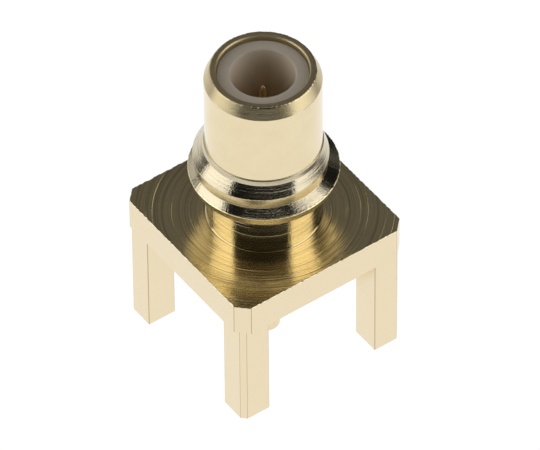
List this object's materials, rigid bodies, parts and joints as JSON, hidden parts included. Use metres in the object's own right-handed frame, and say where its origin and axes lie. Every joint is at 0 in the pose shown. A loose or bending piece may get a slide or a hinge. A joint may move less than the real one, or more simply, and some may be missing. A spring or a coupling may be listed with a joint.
{
  "type": "push-on coaxial board jack",
  "caption": "Straight gold-plated coaxial jack with a smooth barrel, a stepped snap collar and a square flange on solder legs, for a printed circuit board.",
  "frame": {"origin": "on the barrel's axis, level with the ends of the legs", "axes": "+Z along the barrel towards its mouth, X and Y parallel to the sides of the square flange"},
  "size_m": [0.0064, 0.0064, 0.0113],
  "materials": {
    "body_gold": "bright gold plating over turned and milled brass, with fine tool marks",
    "insulator_white": "white waxy fluoroplastic, slightly translucent",
    "contact_gold": "gold plating over a turned contact"
  },
  "bodies": {
    "root": {"body": "body_gold", "insulator": "insulator_white", "centre_contact": "contact_gold"}
  },
  "joints": []
}
